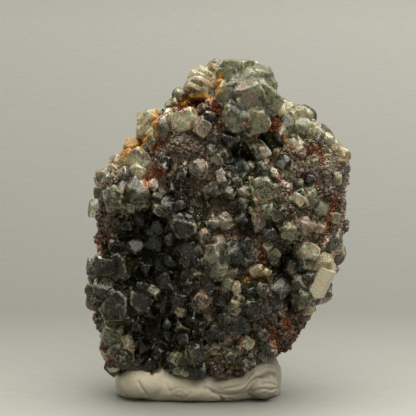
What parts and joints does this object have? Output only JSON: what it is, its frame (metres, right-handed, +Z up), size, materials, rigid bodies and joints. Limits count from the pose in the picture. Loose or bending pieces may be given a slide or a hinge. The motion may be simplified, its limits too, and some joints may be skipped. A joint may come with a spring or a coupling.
{
  "type": "mineral specimen",
  "caption": "Upright cluster of intergrown phantom fluorite crystals on quartz, leaning back in a wad of mounting putty.",
  "frame": {"origin": "on the surface it stands on, at the middle of the putty's flat underside from left to right", "axes": "+X to the right in the picture, +Y away from the viewer, +Z up; the crystal-covered front faces -Y"},
  "size_m": [0.0539, 0.0389, 0.068],
  "materials": {
    "crystal": "glassy crystal faces, green-grey to purple-brown, with rust-coloured stains",
    "putty": "matt grey-white mounting putty with finger marks"
  },
  "bodies": {
    "root": {"fluorite_on_quartz": "crystal", "mounting_putty": "putty"}
  },
  "joints": []
}
